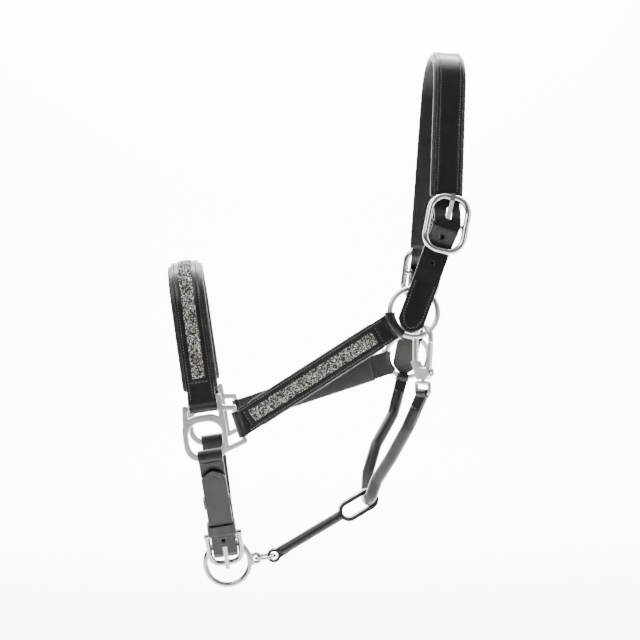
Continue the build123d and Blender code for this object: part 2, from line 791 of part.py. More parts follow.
# ---------------------------------------------------------------- lead ring and link
lead_plane = Plane(
    origin=offset_point(nose_plane, lead_ring_y, -lead_ring_drop),
    x_dir=nose_plane.z_dir,
    z_dir=(0, -1, 0),
)
eye_x = lead_ring_radius + lead_ring_rod + eye_radius - 0.6
link_left = eye_x + link_radius
link_middle = link_left + link_length / 2

with BuildPart() as lead_ring:
    add(wire_ring(lead_plane, lead_ring_radius, lead_ring_rod))
    with BuildSketch(lead_plane):
        with Locations((lead_ring_radius + 2.4, 0)):
            Ellipse(2.6, 6.5)
    extrude(amount=eye_rod, both=True)
    add(disc(lead_plane, lead_ring_radius, 2 * lead_ring_rod), mode=Mode.SUBTRACT)
    add(wire_ring(lead_plane, lead_ring_radius, lead_ring_rod))
    eye_plane = Plane(
        origin=offset_point(lead_plane, eye_x, 0), x_dir=lead_plane.x_dir, z_dir=lead_plane.z_dir
    )
    add(disc(eye_plane, eye_radius - eye_rod, 2 * eye_rod), mode=Mode.SUBTRACT)
    add(wire_ring(eye_plane, eye_radius, eye_rod))
save(lead_ring.part, "lead_ring")

# The link lies flat, crossways to the eye; the back strap's small loop holds its other end.
link_plane = Plane(
    origin=offset_point(lead_plane, link_middle, 0), x_dir=lead_plane.x_dir, z_dir=lead_plane.y_dir
)
with BuildPart() as ring_link:
    half = link_length / 2
    with BuildLine(link_plane) as link_path:
        Line((-half, -link_radius), (half, -link_radius))
        ThreePointArc((half, -link_radius), (half + link_radius, 0), (half, link_radius))
        Line((half, link_radius), (-half, link_radius))
        ThreePointArc((-half, link_radius), (-half - link_radius, 0), (-half, -link_radius))
    with BuildSketch(Plane(origin=link_path.line @ 0, z_dir=link_path.line % 0)):
        Circle(link_rod)
    sweep(path=link_path.line)
save(ring_link.part, "ring_link")


# ---------------------------------------------------------------- throat strap route
def near_ring_point(angle, radius):
    ring = ring_plane(NEAR)
    return offset_point(ring, radius * cos(radians(angle)), radius * sin(radians(angle)))


snap_hook_wire = near_ring_point(snap_on_ring, upper_ring_radius)
snap_across = Vector(cos(radians(snap_turn)), -sin(radians(snap_turn)), 0)
snap_plane = Plane(
    origin=snap_hook_wire - Vector(0, 0, snap_hang),
    x_dir=snap_across,
    z_dir=snap_across.cross(Vector(0, 0, 1)),
)
throat_near_end = offset_point(snap_plane, 0, snap_eye_bottom)
throat_bottom = (Vector(*throat_bottom_near) + Vector(*throat_bottom_far)) / 2


def throat_fold_plane(origin, bar_dir, target):
    """Flat end of the throat strap: x across it along its bar, y back up to the bar."""
    down = (Vector(*target) - origin).normalized()
    across = (bar_dir - down * bar_dir.dot(down)).normalized()
    return Plane(origin=origin, x_dir=across, z_dir=across.cross(-down))


far_ring = ring_plane(FAR)
far_turn = 180 - throat_far_angle
far_radial = far_ring.x_dir * cos(radians(far_turn)) + far_ring.y_dir * sin(radians(far_turn))
far_tangent = far_ring.z_dir.cross(far_radial)
throat_far_end = far_ring.origin + far_radial * upper_ring_radius

near_flat = throat_fold_plane(throat_near_end, snap_across, throat_near_points[0])
far_flat = throat_fold_plane(throat_far_end, far_tangent, throat_far_points[-1])
throat_route = [
    offset_point(near_flat, 0, -throat_fold_length / 2),
    *throat_near_points, throat_bottom_near, throat_bottom_far, *throat_far_points,
    offset_point(far_flat, 0, -throat_fold_length / 2),
]


def throat_tube(radius):
    with BuildPart() as tube:
        with BuildLine() as route:
            FilletPolyline(*throat_route, radius=throat_bend_radius)
        with BuildSketch(Plane(origin=route.line @ 0, z_dir=route.line % 0)):
            Circle(radius)
        sweep(path=route.line)
    return tube.part


throat_layers = 5.2                 # doubled flat ends of the throat strap
eye_fold = snap_eye_rod + fit_gap + fold_leather
throat_core_part = throat_tube(throat_core)
with BuildPart() as throat_strap:
    add(throat_tube(throat_rod))
    for flat in (near_flat, far_flat):
        with BuildSketch(flat.offset(-throat_layers / 2)):
            with Locations((0, -throat_fold_length / 2)):
                Rectangle(throat_fold_width, throat_fold_length)
        extrude(amount=throat_layers)
    half = snap_across * (throat_fold_width / 2)
    add(rod_between(throat_near_end - half, throat_near_end + half, eye_fold))
    add(disc(far_ring, upper_ring_radius, 2 * ring_fold), mode=Mode.SUBTRACT)
    add(ring_wrap(far_ring, far_turn, throat_fold_width, upper_ring_radius, ring_fold))
    add(wire_ring(far_ring, upper_ring_radius, upper_ring_rod + turn_gap), mode=Mode.SUBTRACT)
    near_bar_room = rod_between(
        throat_near_end - half * 1.5, throat_near_end + half * 1.5, snap_eye_rod + fit_gap
    )
    add(near_bar_room, mode=Mode.SUBTRACT)
    add(throat_core_part, mode=Mode.SUBTRACT)
save(throat_strap.part, "throat_strap")
save(throat_core_part, "throat_strap_core")


# ---------------------------------------------------------------- back strap
back_start = offset_point(lead_plane, link_left + link_length + link_radius - 1.0, 0)
back_run = (throat_bottom - back_start).normalized()
back_side = Vector(0, 1, 0)
back_side = (back_side - back_run * back_side.dot(back_run)).normalized()
back_plane = Plane(origin=back_start, x_dir=back_run, z_dir=back_side)
back_length = (throat_bottom - back_start).length
back_loop_rod = throat_rod + back_loop_gap
back_loop_middle = back_length - (back_loop_length / 2 - back_loop_rod)
back_tube_start = back_fold_radius + 2.0
back_tube_end = back_loop_middle - back_loop_length / 2 - 1.5

with BuildPart() as back_core_rod:
    with BuildSketch(Plane(origin=offset_point(back_plane, back_tube_start + 4, 0), z_dir=back_run)):
        Circle(back_core)
    extrude(amount=back_tube_end - back_tube_start - 10)

with BuildPart() as back_strap:
    with BuildSketch(back_plane):
        Circle(back_fold_radius)
        with BuildLine():
            Line((0, 0), (back_tube_start + 6, 0))
        trace(line_width=2 * back_rod)
    extrude(amount=back_fold_width / 2, both=True)
    with BuildSketch(Plane(origin=offset_point(back_plane, back_tube_start, 0), z_dir=back_run)):
        Circle(back_rod)
    extrude(amount=back_tube_end - back_tube_start)
    with BuildSketch(back_plane):
        with Locations((back_loop_middle, 0)):
            SlotOverall(back_loop_length + 2 * back_loop_leather, 2 * (back_loop_rod + back_loop_leather))
    extrude(amount=back_loop_half, both=True)
    with BuildSketch(back_plane):
        with Locations((back_loop_middle, 0)):
            SlotOverall(back_loop_length, 2 * back_loop_rod)
        Circle(back_fold_channel)
    extrude(amount=3 * back_rod, both=True, mode=Mode.SUBTRACT)
    add(back_core_rod.part, mode=Mode.SUBTRACT)
save(back_strap.part, "back_strap")
save(back_core_rod.part, "back_strap_core")


# ---------------------------------------------------------------- snap hook
with BuildPart() as snap_body:
    with BuildLine(snap_plane) as hook_path:
        Line((-snap_half, snap_base_top - 2), (-snap_half, 0))
        ThreePointArc((-snap_half, 0), (0, snap_half), (snap_half, 0))
        Line((snap_half, 0), (snap_half, snap_tip))
    with BuildSketch(Plane(origin=hook_path.line @ 0, z_dir=hook_path.line % 0)):
        Circle(snap_rod)
    sweep(path=hook_path.line)
    leg_out, leg_in = -snap_half - snap_rod, -snap_half + snap_rod
    with BuildSketch(snap_plane):
        with BuildLine():
            Polyline(
                (leg_out, snap_base_top + 6), (leg_in, snap_base_top + 6), (-3.5, snap_base_top),
                (gate_pivot[0] + gate_hub - 1, snap_base_top - 1), (gate_pivot[0] + gate_hub + 0.4, -37.5),
                (5.5, snap_base_bottom), (-5.5, snap_base_bottom), close=True,
            )
        make_face()
    extrude(amount=snap_base_half, both=True)
    with BuildSketch(snap_plane):
        with Locations((gate_pivot[0] + 5.4, (snap_base_top + gate_pivot[1]) / 2 - 0.5)):
            Rectangle(2 * (5.4 + gate_hub + 0.6), 11)
    extrude(amount=gate_half + turn_gap, both=True, mode=Mode.SUBTRACT)
    gate_axis = offset_point(snap_plane, *gate_pivot)
    pin_half = snap_plane.z_dir * snap_base_half
    add(rod_between(gate_axis - pin_half, gate_axis + pin_half, gate_pin_rod), mode=Mode.SUBTRACT)
    stud_top = offset_point(snap_plane, 0, snap_base_bottom + 5.6)
    head_low = offset_point(snap_plane, 0, snap_base_bottom + 2.6)
    stud_low = offset_point(snap_plane, 0, snap_base_bottom - 1)
    add(rod_between(stud_low, head_low, swivel_rod + turn_gap), mode=Mode.SUBTRACT)
    add(rod_between(head_low, stud_top, swivel_head + turn_gap), mode=Mode.SUBTRACT)
save(snap_body.part, "snap_body")

save(rod_between(gate_axis - pin_half, gate_axis + pin_half, gate_pin_rod), "snap_gate_pin")

with BuildPart() as snap_gate:
    with BuildSketch(snap_plane):
        with BuildLine():
            Line(gate_pivot, (snap_half, snap_tip - gate_gap))
        trace(line_width=4.2)
        with Locations(gate_pivot):
            Circle(gate_hub)
    extrude(amount=gate_half, both=True)
    with BuildSketch(snap_plane.offset(gate_hub_half)):
        with Locations(gate_pivot):
            Circle(gate_hub + 0.2)
    extrude(amount=gate_half, mode=Mode.SUBTRACT)
    add(rod_between(gate_axis - pin_half, gate_axis + pin_half, gate_pin_rod + 0.1), mode=Mode.SUBTRACT)
save(snap_gate.part, "snap_gate")

spring_wire = 0.3
spring_radius = gate_pin_rod + 0.25 + spring_wire
with BuildPart() as snap_gate_spring:
    coil_plane = Plane(origin=gate_axis, x_dir=snap_plane.x_dir, z_dir=snap_plane.z_dir)
    add(wire_ring(coil_plane.offset(gate_hub_half + 0.6), spring_radius, spring_wire))
save(snap_gate_spring.part, "snap_gate_spring")

with BuildPart() as snap_eye:
    with BuildLine(snap_plane) as eye_path:
        FilletPolyline(
            (snap_eye_half, snap_eye_top), (snap_eye_half, snap_eye_bottom),
            (-snap_eye_half, snap_eye_bottom), (-snap_eye_half, snap_eye_top), radius=1.6, close=True,
        )
    with BuildSketch(Plane(origin=eye_path.line @ 0, z_dir=eye_path.line % 0)):
        Circle(snap_eye_rod)
    sweep(path=eye_path.line)
    stud_root = offset_point(snap_plane, 0, snap_eye_top)
    head_bottom = offset_point(snap_plane, 0, snap_base_bottom + 2.6 + turn_gap)
    head_top = offset_point(snap_plane, 0, snap_base_bottom + 5.6 - turn_gap)
    add(rod_between(stud_root, head_bottom, swivel_rod))
    add(rod_between(head_bottom, head_top, swivel_head))
save(snap_eye.part, "snap_eye")
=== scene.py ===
# %% [markdown]
# # A leather headcollar
#
# The straps are black leather, the bars and rings are steel, and the noseband and the cheekpieces
# carry a strip of crystal grains. Most of the steel comes from the CAD frame as it is, and the two
# side fittings are copies with rounded edges. The leather is made here, because the solids say where
# a strap goes but not how it bulges, creases and is sewn.

# %% Load the frame and keep its box
from math import acos, atan2, cos, degrees, pi, radians, sin, sqrt

import bpy
import numpy as np
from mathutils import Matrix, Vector


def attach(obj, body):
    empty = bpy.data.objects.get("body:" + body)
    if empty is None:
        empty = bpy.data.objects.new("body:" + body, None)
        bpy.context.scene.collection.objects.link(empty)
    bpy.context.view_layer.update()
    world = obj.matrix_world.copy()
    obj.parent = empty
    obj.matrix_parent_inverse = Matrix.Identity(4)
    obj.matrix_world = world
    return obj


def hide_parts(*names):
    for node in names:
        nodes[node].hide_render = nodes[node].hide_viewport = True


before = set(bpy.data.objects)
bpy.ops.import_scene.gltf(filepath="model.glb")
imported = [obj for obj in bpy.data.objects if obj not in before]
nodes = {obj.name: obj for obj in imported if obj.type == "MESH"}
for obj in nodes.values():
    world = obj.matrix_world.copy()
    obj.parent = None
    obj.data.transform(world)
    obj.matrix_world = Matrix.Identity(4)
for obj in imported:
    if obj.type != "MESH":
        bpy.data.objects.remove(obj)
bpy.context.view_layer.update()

# %% [markdown]
# ## The studio
#
# A headcollar hangs from its crown, so nothing is under it but air. A pale sweep stands well below
# and behind it with a lamp of its own. Three soft lamps, key, fill and top, light the headcollar, and
# a world that is dark below and pale above gives the steel something to reflect.

# %% Camera
MM = 0.001


def mm(x, y, z):
    return Vector((x * MM, y * MM, z * MM))


camera_data = bpy.data.cameras.new("camera")
camera_data.sensor_width = 36.0
camera_data.lens = 64.7
camera_data.clip_start = 0.05
camera = bpy.data.objects.new("camera", camera_data)
camera.location = mm(-218.2, -1221.5, -231.9)
camera.rotation_euler = (radians(90 - 2.0), 0, radians(-4.0))
bpy.context.collection.objects.link(camera)
bpy.context.scene.camera = camera
print("camera at", camera.location)


# %% [markdown]
# ## Shader maths
#
# A small class wraps a socket, so that a pattern is written as an expression, and one method makes
# every other node.

# %% Sockets that add and multiply
class Wire:
    """A socket that takes part in Python expressions."""

    def __init__(self, tree, socket):
        self.tree, self.socket = tree, socket

    def _math(self, operation, other, swap=False):
        node = self.tree.nodes.new("ShaderNodeMath")
        node.operation = operation
        pair = (other, self) if swap else (self, other)
        for slot, value in zip(node.inputs, pair):
            if isinstance(value, Wire):
                self.tree.links.new(value.socket, slot)
            else:
                slot.default_value = float(value)
        return Wire(self.tree, node.outputs[0])

    def __add__(self, other): return self._math("ADD", other)
    def __radd__(self, other): return self._math("ADD", other, True)
    def __mul__(self, other): return self._math("MULTIPLY", other)
    def __rmul__(self, other): return self._math("MULTIPLY", other, True)


class Recipe:
    """One material and the nodes that feed its Principled shader."""

    def __init__(self, name, **constants):
        self.material = bpy.data.materials.new(name)
        self.material.use_nodes = True
        self.tree = self.material.node_tree
        self.shader = self.tree.nodes["Principled BSDF"]
        for socket, value in constants.items():
            self.shader.inputs[socket.replace("_", " ")].default_value = value

    def node(self, kind, settings=None, output=0, **values):
        made = self.tree.nodes.new(kind)
        for key, value in (settings or {}).items():
            setattr(made, key, value)
        for key, value in values.items():
            slot = made.inputs[key.replace("_", " ")]
            if isinstance(value, Wire):
                self.tree.links.new(value.socket, slot)
            else:
                slot.default_value = value
        return Wire(self.tree, made.outputs[output])

    def place(self):
        return self.node("ShaderNodeTexCoord", output="Object")

    def noise(self, scale, detail=3.0, rough=0.55):
        return self.node(
            "ShaderNodeTexNoise", Vector=self.place(), Scale=scale, Detail=detail, Roughness=rough
        )

    def cells(self, scale):
        return self.node(
            "ShaderNodeTexVoronoi", {"feature": "DISTANCE_TO_EDGE"}, Vector=self.place(), Scale=scale
        )

    def mix(self, factor, first, second):
        made = self.tree.nodes.new("ShaderNodeMix")
        made.data_type = "RGBA"
        self.tree.links.new(factor.socket, made.inputs[0])
        made.inputs[6].default_value = (*first, 1)
        made.inputs[7].default_value = (*second, 1)
        return Wire(self.tree, made.outputs[2])

    def feed(self, socket, wire):
        self.tree.links.new(wire.socket, self.shader.inputs[socket])

    def bump(self, height, strength, distance):
        made = self.node("ShaderNodeBump", Height=height, Strength=strength, Distance=distance)
        self.feed("Normal", made)


# %% [markdown]
# ## Leather
#
# Bridle leather is dyed through, waxed and pressed smooth. Its fine grain only shows where light
# grazes it, its colour hardly varies, and its sheen comes and goes with the wax. The padded lining is
# a softer skin with a larger grain, and the thread is waxed black.

# %% Leather, lining and thread
def leather_recipe(name, dark, light, rough_low, rough_high, grain, depth):
    recipe = Recipe(name, Specular_IOR_Level=0.26, Coat_Weight=0.05, Coat_Roughness=0.25)
    cloud = recipe.noise(38.0, 4.0)
    recipe.feed("Base Color", recipe.mix(cloud, dark, light))
    wax = recipe.noise(95.0, 3.0)
    recipe.feed("Roughness", rough_low + (rough_high - rough_low) * wax)
    pores = recipe.cells(grain)
    fibre = recipe.noise(grain * 0.45, 4.0)
    recipe.bump(pores * 0.7 + fibre * 0.6, 0.32, depth)
    return recipe.material


black_leather = leather_recipe(
    "black_leather", (0.0022, 0.0022, 0.0024), (0.0050, 0.0049, 0.0052), 0.26, 0.46, 1150.0, 0.00020
)
soft_lining = leather_recipe(
    "soft_lining", (0.0028, 0.0027, 0.0029), (0.0065, 0.0063, 0.0066), 0.36, 0.56, 780.0, 0.0003
)
flesh_side = leather_recipe(
    "flesh_side", (0.020, 0.019, 0.018), (0.045, 0.042, 0.040), 0.70, 0.92, 620.0, 0.0004
)
cut_edge = leather_recipe(
    "cut_edge", (0.020, 0.019, 0.019), (0.055, 0.053, 0.052), 0.40, 0.60, 700.0, 0.0003
)
thread = Recipe("waxed_thread", Roughness=0.5)
thread.feed(
    "Base Color",
    thread.mix(thread.noise(900.0), (0.022, 0.022, 0.021), (0.075, 0.073, 0.070)),
)
print("leathers", black_leather.name, soft_lining.name, flesh_side.name)

# %% [markdown]
# ## Steel
#
# The fittings, rings and snap are cast and tumbled to a satin, the crown buckles are polished, and
# the chin buckle and lead ring are darker. A faint uneven polish keeps them from looking like chrome.

# %% Steels
def steel_recipe(name, dull, bright, rough_low, rough_high, depth):
    recipe = Recipe(name, Metallic=1.0)
    recipe.feed("Base Color", recipe.mix(recipe.noise(120.0), dull, bright))
    handling = recipe.noise(260.0, 5.0, 0.65)
    recipe.feed("Roughness", rough_low + (rough_high - rough_low) * handling)
    recipe.bump(recipe.noise(900.0, 3.0), 0.25, depth)
    return recipe.material


satin_steel = steel_recipe("satin_steel", (0.34, 0.34, 0.35), (0.50, 0.50, 0.51), 0.24, 0.38, 0.00010)
polished_steel = steel_recipe(
    "polished_steel", (0.36, 0.36, 0.37), (0.52, 0.52, 0.53), 0.12, 0.22, 0.00006
)
dark_steel = steel_recipe("dark_steel", (0.22, 0.22, 0.23), (0.34, 0.34, 0.35), 0.14, 0.26, 0.00008)

steel_nodes = {
    satin_steel: [
        "near_upper_ring", "far_upper_ring", "near_side_fitting", "far_side_fitting",
        "snap_body", "snap_gate", "snap_gate_pin", "snap_gate_spring", "snap_eye",
    ],
    polished_steel: [
        "near_crown_buckle_frame", "far_crown_buckle_frame",
        "near_crown_buckle_tongue", "far_crown_buckle_tongue",
    ],
    dark_steel: ["lead_ring", "ring_link", "chin_buckle_frame", "chin_buckle_tongue"],
}
for steel, names in steel_nodes.items():
    for name in names:
        nodes[name].data.materials.clear()
        nodes[name].data.materials.append(steel)
    print(steel.name, len(names), "nodes")

# %% [markdown]
# ## Where the straps run
#
# Every strap follows a plane of its own: the crown's leans a little towards the nose, the noseband's
# leans back, and each cheekpiece lies between its fitting and its ring. A Place keeps an origin and
# three directions, so that a point on a strap is said as along, across and out.

# %% Places
SIDES = {"near": -1, "far": 1}


class Place:
    """An origin and three directions, in millimetres."""

    def __init__(self, origin, x, z):
        self.origin = Vector(origin)
        self.z = Vector(z).normalized()
        self.x = (Vector(x) - self.z * Vector(x).dot(self.z)).normalized()
        self.y = self.z.cross(self.x)

    def at(self, x, y, z=0.0):
        return self.origin + self.x * x + self.y * y + self.z * z

    def turned(self, angle):
        a = radians(angle)
        return Place(self.origin, self.x * cos(a) + self.y * sin(a), self.z)


crown_lean, crown_splay, crown_radius = 3.0, 7.5, 45.0
crown_leg = {"near": 145.0, "far": 195.0}
billet_swing = {"near": 18.0, "far": 6.5}
crown_tab = 95.0
tab_depth = 2.2                     # a crown tab's middle behind the crown's seam
ring_radius = 24.3
nose_lean, nose_radius, nose_height, nose_half_gap = 8.0, 50.0, 97.4, 58.0
fitting_x, fitting_z = -255.2, -361.0
crown_centre = -(crown_radius - 6.2)
crown_place = Place((0, 0, 0), (0, 1, 0), (cos(radians(crown_lean)), 0, -sin(radians(crown_lean))))
nose_place = Place(
    (fitting_x, 0, fitting_z), (0, 1, 0), (cos(radians(nose_lean)), 0, sin(radians(nose_lean)))
)
nose_reach = sqrt(nose_half_gap**2 + nose_height**2)
nose_splay = degrees(acos(nose_radius / nose_reach) - atan2(nose_height, nose_half_gap))
nose_leg = sqrt(nose_reach**2 - nose_radius**2)


class Arch:
    """A strap's run up one leg, over an arch and down the other, at any radius."""

    def __init__(self, place, centre, splay, radius, near_leg, far_leg):
        self.place, self.centre, self.splay, self.radius = place, centre, radians(splay), radius
        self.near_leg, self.far_leg = near_leg, far_leg
        self.turn = pi - 2 * self.splay
        self.length = near_leg + radius * self.turn + far_leg

    def at(self, along, across, out):
        """Point in millimetres: along from the near end, across the strap, out of its seam."""
        arc = self.radius * self.turn
        if along < self.near_leg:
            angle, rest = pi - self.splay, self.near_leg - along
        elif along > self.near_leg + arc:
            angle, rest = self.splay, along - self.near_leg - arc
        else:
            angle, rest = pi - self.splay - (along - self.near_leg) / self.radius, 0.0
        radial = (cos(angle), sin(angle))
        down = (sin(self.splay) * (1 if radial[0] > 0 else -1), -cos(self.splay))
        reach = self.radius + out
        x = radial[0] * reach + down[0] * rest
        y = self.centre + radial[1] * reach + down[1] * rest
        return self.place.at(x, y, across)


crown_arch = Arch(
    crown_place, crown_centre, crown_splay, crown_radius, crown_leg["near"], crown_leg["far"]
)
nose_arch = Arch(nose_place, nose_height, nose_splay, nose_radius, nose_leg, nose_leg)
print("crown run", round(crown_arch.length), "noseband run", round(nose_arch.length))


# %% Buckle, ring and cheek places
def buckle_place(side):
    """Seam of a crown leg at its buckle: x across, y up the strap, z out of its face."""
    along = 0.0 if side == "near" else crown_arch.length
    origin = crown_arch.at(along, 0, 0)
    up = (crown_arch.at(along + (-SIDES[side]) * 10.0, 0, 0) - origin).normalized()
    outward = crown_place.z.cross(up) * -SIDES[side]
    return Place(origin, up.cross(outward), outward)


def tab_place(side):
    return buckle_place(side).turned(SIDES[side] * billet_swing[side])


def ring_place(side):
    tab = tab_place(side)
    return Place(tab.at(0, -crown_tab, -tab_depth), tab.x, tab.z)


def fitting_place(side):
    return Place((fitting_x, SIDES[side] * nose_half_gap, fitting_z), nose_place.z, (0, -1, 0))


cheek_bar_top, cheek_bar_bottom = (30.6, -4.2), (37.1, -39.4)


def cheek_place(side):
    """Cheekpiece: x from the cheek bar to the ring, z out of its face."""
    middle = [(a + b) / 2 for a, b in zip(cheek_bar_top, cheek_bar_bottom)]
    origin = fitting_place(side).at(*middle)
    ring = ring_place(side)
    along = (ring.origin - origin).normalized()
    return Place(origin, along, ring.z - along * ring.z.dot(along))


def cheek_length(side):
    return (ring_place(side).origin - cheek_place(side).origin).length


for side in SIDES:
    ring_at = [round(v, 1) for v in ring_place(side).origin]
    print(side, "ring at", ring_at, "cheek", round(cheek_length(side), 1))

# %% [markdown]
# ## Making leather from a strap's solid
#
# Real strap leather has rounded, burnished edges and gives a little round every bar. Each strap's
# solid is copied, closed, and remeshed at well under a millimetre, and its new skin is smoothed, so
# that every sharp corner becomes the soft edge of a cut and rubbed strap. Stitching and crease lines
# are then pressed into that skin.

# %% Helpers: selection, finishing and pressed lines
rng = np.random.default_rng(7)
groove = (0.8, 0.42)                # width and depth of a pressed stitch line


def only(obj):
    bpy.ops.object.select_all(action="DESELECT")
    obj.select_set(True)
    bpy.context.view_layer.objects.active = obj


def triangles(obj):
    return sum(len(p.vertices) - 2 for p in obj.data.polygons)


def copy_of(node, name):
    """A closed copy of a CAD node's mesh."""
    obj = bpy.data.objects.new(name, nodes[node].data.copy())
    bpy.context.collection.objects.link(obj)
    obj.data.materials.clear()
    only(obj)
    bpy.ops.object.mode_set(mode="EDIT")
    bpy.ops.mesh.select_all(action="SELECT")
    bpy.ops.mesh.remove_doubles(threshold=0.000002)
    bpy.ops.object.mode_set(mode="OBJECT")
    return obj


def points_of(obj):
    flat = np.empty(len(obj.data.vertices) * 3, dtype=np.float32)
    obj.data.vertices.foreach_get("co", flat)
    return flat.reshape(-1, 3).astype(float) / MM


def normals_of(obj):
    flat = np.empty(len(obj.data.vertices) * 3, dtype=np.float32)
    obj.data.vertex_normals.foreach_get("vector", flat)
    return flat.reshape(-1, 3).astype(float)


def put_points(obj, points):
    obj.data.vertices.foreach_set("co", (points * MM).astype(np.float32).ravel())
    obj.data.update()


def distance_to_line(points, line):
    """Distance of each point to a run of straight pieces."""
    best = np.full(len(points), 1e9)
    for start, end in zip(line[:-1], line[1:]):
        run = end - start
        share = np.clip(((points - start) @ run) / max(run @ run, 1e-9), 0, 1)
        best = np.minimum(best, np.linalg.norm(points - (start + share[:, None] * run), axis=1))
    return best


def press(obj, lines, width, depth):
    """Press grooves into a skin along lines that lie on it."""
    points, normals = points_of(obj), normals_of(obj)
    push = np.zeros(len(points))
    for line in lines:
        line = np.array([tuple(p) for p in line])
        low, high = line.min(0) - 3 * width, line.max(0) + 3 * width
        near = np.where(((points > low) & (points < high)).all(axis=1))[0]
        if len(near):
            gap = distance_to_line(points[near], line)
            push[near] = np.maximum(push[near], np.exp(-((gap / width) ** 2)))
    put_points(obj, points - normals * (push * depth)[:, None])


def leather_from(node, name, voxel=0.62, rounds=3, material=None, body="root"):
    """A strap's solid with a soft, rounded leather skin."""
    obj = copy_of(node, name)
    remesh = obj.modifiers.new("skin", "REMESH")
    remesh.mode = "VOXEL"
    remesh.voxel_size = voxel * MM
    bpy.ops.object.modifier_apply(modifier="skin")
    soften = obj.modifiers.new("rub", "SMOOTH")
    soften.factor = 0.5
    soften.iterations = rounds
    bpy.ops.object.modifier_apply(modifier="rub")
    obj.data.materials.append(material or black_leather)
    only(obj)
    bpy.ops.object.shade_smooth()
    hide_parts(node)
    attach(obj, body)
    print(name, triangles(obj), "triangles")
    return obj


# %% Painting part of a skin
def paint(obj, material, where):
    """Give the faces that `where` picks, from their middles and normals, another finish."""
    obj.data.materials.append(material)
    count = len(obj.data.polygons)
    middles, outs = np.empty(count * 3, dtype=np.float32), np.empty(count * 3, dtype=np.float32)
    obj.data.polygons.foreach_get("center", middles)
    obj.data.polygons.foreach_get("normal", outs)
    slots = np.zeros(count, dtype=np.int32)
    obj.data.polygons.foreach_get("material_index", slots)
    slots[where(middles.reshape(-1, 3) / MM, outs.reshape(-1, 3))] = len(obj.data.materials) - 1
    obj.data.polygons.foreach_set("material_index", slots)


# %% [markdown]
# ## Stitches
#
# Saddle stitching is a row of short slanted beads, about eight to the inch. One bead is modelled from
# a sphere and copied along each row, turned to lie on the leather with a small slant.

# %% One stitch, and rows of it
bpy.ops.mesh.primitive_uv_sphere_add(segments=8, ring_count=5, radius=1.0)
bead = bpy.context.object
bead.name = "stitch_bead"
bead_points = np.array([tuple(v.co) for v in bead.data.vertices])
bead_faces = [tuple(p.vertices) for p in bead.data.polygons]
bpy.data.objects.remove(bead)
stitch_pitch, stitch_half, stitch_thick = 3.1, 1.2, 0.40
stitch_slant = radians(9)


def mesh_piece(name, points, faces, materials, face_slots=None):
    """A new piece from points in millimetres."""
    mesh = bpy.data.meshes.new(name)
    mesh.from_pydata([tuple(p * MM) for p in points], [], faces)
    for material in materials:
        mesh.materials.append(material)
    if face_slots is not None:
        mesh.polygons.foreach_set("material_index", face_slots)
    mesh.update()
    obj = bpy.data.objects.new(name, mesh)
    bpy.context.collection.objects.link(obj)
    return obj


def walk(line, pitch):
    """Points at an even pitch along a line, with its direction at each."""
    line = np.array([tuple(p) for p in line])
    steps = np.linalg.norm(np.diff(line, axis=0), axis=1)
    run = np.concatenate([[0], np.cumsum(steps)])
    count = max(int(run[-1] / pitch), 1)
    spots = (np.arange(count) + 0.5) * run[-1] / count
    places = np.stack([np.interp(spots, run, line[:, k]) for k in range(3)], axis=1)
    ahead = np.stack([np.interp(spots + 0.4, run, line[:, k]) for k in range(3)], axis=1)
    behind = np.stack([np.interp(spots - 0.4, run, line[:, k]) for k in range(3)], axis=1)
    heading = ahead - behind
    return places, heading / np.linalg.norm(heading, axis=1)[:, None]


def stitches(name, rows, body="root"):
    """Rows of stitching. Each row is a line on the leather and the way out of it at each point."""
    points, faces = [], []
    for line, outs in rows:
        places, heading = walk(line, stitch_pitch)
        outs = np.array([tuple(o) for o in outs])
        share = np.linspace(0, len(outs) - 1, len(places))
        for place, ahead, pick in zip(places, heading, share):
            out = outs[int(round(pick))]
            side = np.cross(out, ahead)
            along = ahead * cos(stitch_slant) + side * sin(stitch_slant)
            side = np.cross(out, along)
            shape = (
                np.outer(bead_points[:, 2] * stitch_half, along)
                + np.outer(bead_points[:, 0] * stitch_thick, side)
                + np.outer(bead_points[:, 1] * stitch_thick * 0.75, out)
            )
            base = len(points)
            points.extend(place + shape)
            faces.extend(tuple(base + k for k in face) for face in bead_faces)
    obj = mesh_piece(name, points, faces, [thread.material])
    only(obj)
    bpy.ops.object.shade_smooth()
    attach(obj, body)
    print(name, triangles(obj), "triangles")
    return obj


def arch_row(arch, across, out, start, end, step=4.0):
    """A line along an arch at one distance across it, with the way out at each point."""
    spots = np.arange(start, end + step / 2, step)
    line = [arch.at(s, across, out) for s in spots]
    outs = [(arch.at(s, across, out + 1) - arch.at(s, across, out)).normalized() for s in spots]
    return line, outs


def flat_row(place, points, out):
    """A line on a flat strap, drawn in its own plane, with the way out."""
    line = []
    for (x0, y0), (x1, y1) in zip(points[:-1], points[1:]):
        count = max(int(sqrt((x1 - x0) ** 2 + (y1 - y0) ** 2) / 2), 1)
        for k in range(count):
            line.append(place.at(x0 + (x1 - x0) * k / count, y0 + (y1 - y0) * k / count, out))
    line.append(place.at(*points[-1], out))
    return line, [place.z] * len(line)


# %% [markdown]
# ## The crown
#
# The crownpiece is one strap over the poll, stitched along both edges, with a billet at each end.
# The billets pass over their buckles' centre bars and end in a blunt point with holes along them.

